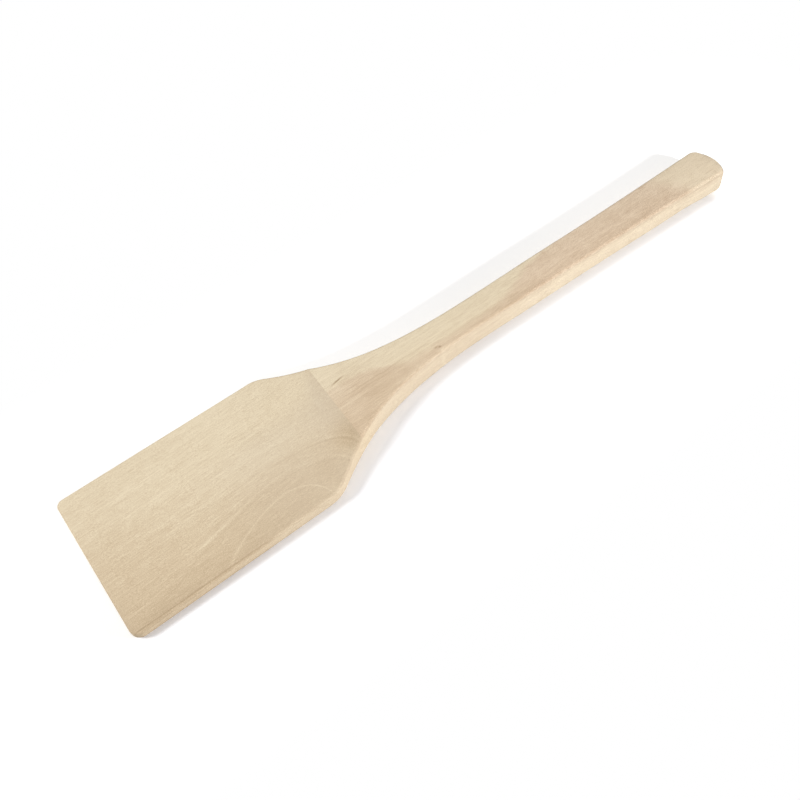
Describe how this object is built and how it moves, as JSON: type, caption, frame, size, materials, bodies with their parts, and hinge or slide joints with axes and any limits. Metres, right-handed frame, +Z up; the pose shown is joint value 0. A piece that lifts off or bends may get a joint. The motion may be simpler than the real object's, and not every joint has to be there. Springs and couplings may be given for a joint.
{
  "type": "square spatula",
  "caption": "One-piece wooden spatula with a thinned square blade, flared neck and a long handle with a rounded butt.",
  "frame": {"origin": "on the resting plane, under the middle of the overall length and width", "axes": "+X along the spatula from the blade to the butt of the handle, +Z up out of the face that carries the scoop"},
  "size_m": [0.3, 0.0638, 0.01],
  "materials": {
    "pale_wood": "unfinished, planed and sanded"
  },
  "bodies": {
    "root": {"spatula": "pale_wood"}
  },
  "joints": []
}
